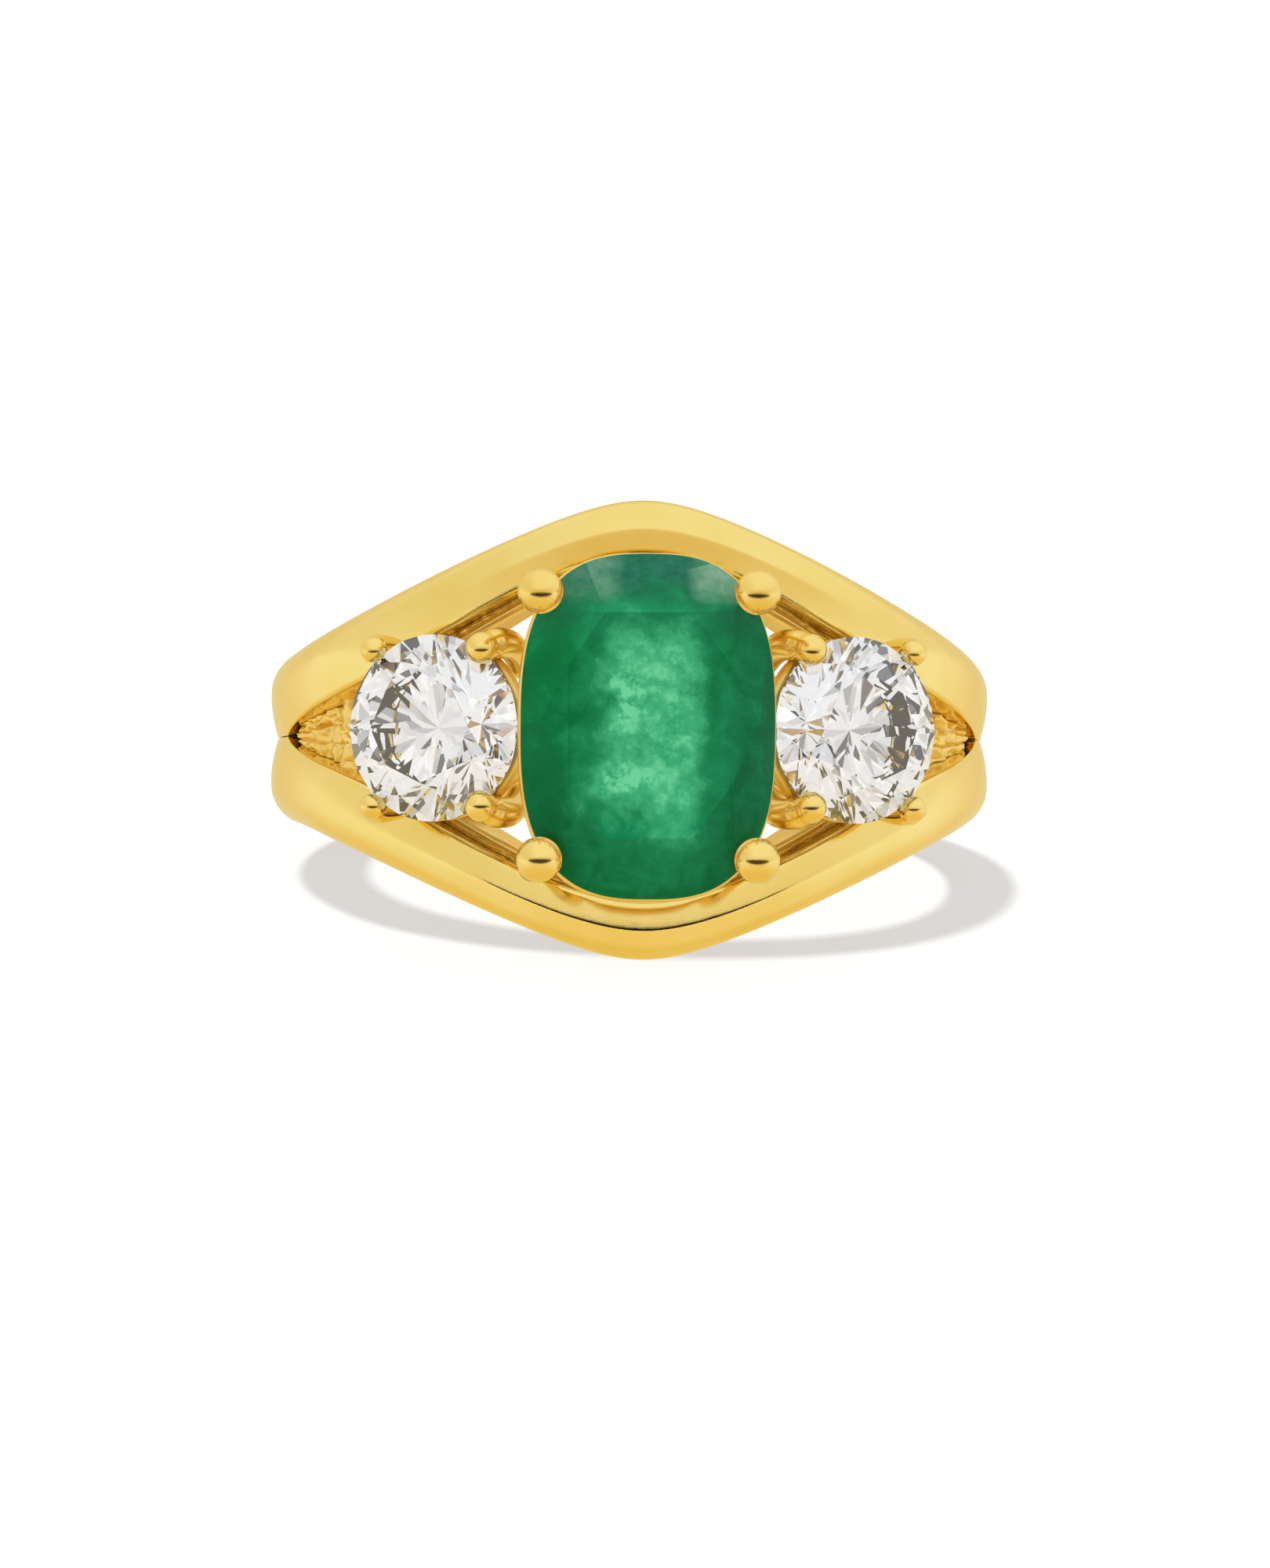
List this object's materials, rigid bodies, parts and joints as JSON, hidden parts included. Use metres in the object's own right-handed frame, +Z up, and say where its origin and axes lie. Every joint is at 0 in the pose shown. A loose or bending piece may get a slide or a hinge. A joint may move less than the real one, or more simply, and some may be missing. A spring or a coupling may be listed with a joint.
{
  "type": "cocktail ring",
  "caption": "Finger ring of two gold bands that part at the shoulders and bow round a cushion-cut green stone between round clear stones, each held in a prong basket.",
  "frame": {"origin": "under the middle of the ring's box, on the surface that it lies on", "axes": "+Z up; +Y away from the stones, through the finger hole to the back of the shank; +X to the right for someone who faces the stones; the finger axis leans 13.8 degrees from +Z towards +Y"},
  "size_m": [0.021, 0.0248, 0.0127],
  "materials": {
    "band_gold": "mirror-polished yellow gold",
    "gallery_gold": "yellow gold, less polished than the bands",
    "prong_gold": "mirror-polished yellow gold",
    "emerald": "faceted green stone, cloudy inside",
    "diamond": "faceted clear stone"
  },
  "bodies": {
    "root": {"band_upper": "band_gold", "band_lower": "band_gold", "gallery_bar_upper": "gallery_gold", "gallery_bar_lower": "gallery_gold", "left_basket_bridge": "gallery_gold", "right_basket_bridge": "gallery_gold", "left_shoulder_bridge": "gallery_gold", "right_shoulder_bridge": "gallery_gold", "center_gallery_upper": "gallery_gold", "center_gallery_lower": "gallery_gold", "left_gallery_upper": "gallery_gold", "left_gallery_lower": "gallery_gold", "right_gallery_upper": "gallery_gold", "right_gallery_lower": "gallery_gold", "center_prong_upper_left": "prong_gold", "center_prong_upper_right": "prong_gold", "center_prong_lower_left": "prong_gold", "center_prong_lower_right": "prong_gold", "left_prong_outer_upper": "prong_gold", "left_prong_outer_lower": "prong_gold", "left_prong_inner_upper": "prong_gold", "left_prong_inner_lower": "prong_gold", "right_prong_outer_upper": "prong_gold", "right_prong_outer_lower": "prong_gold", "right_prong_inner_upper": "prong_gold", "right_prong_inner_lower": "prong_gold", "center_emerald": "emerald", "left_diamond": "diamond", "right_diamond": "diamond"}
  },
  "joints": []
}
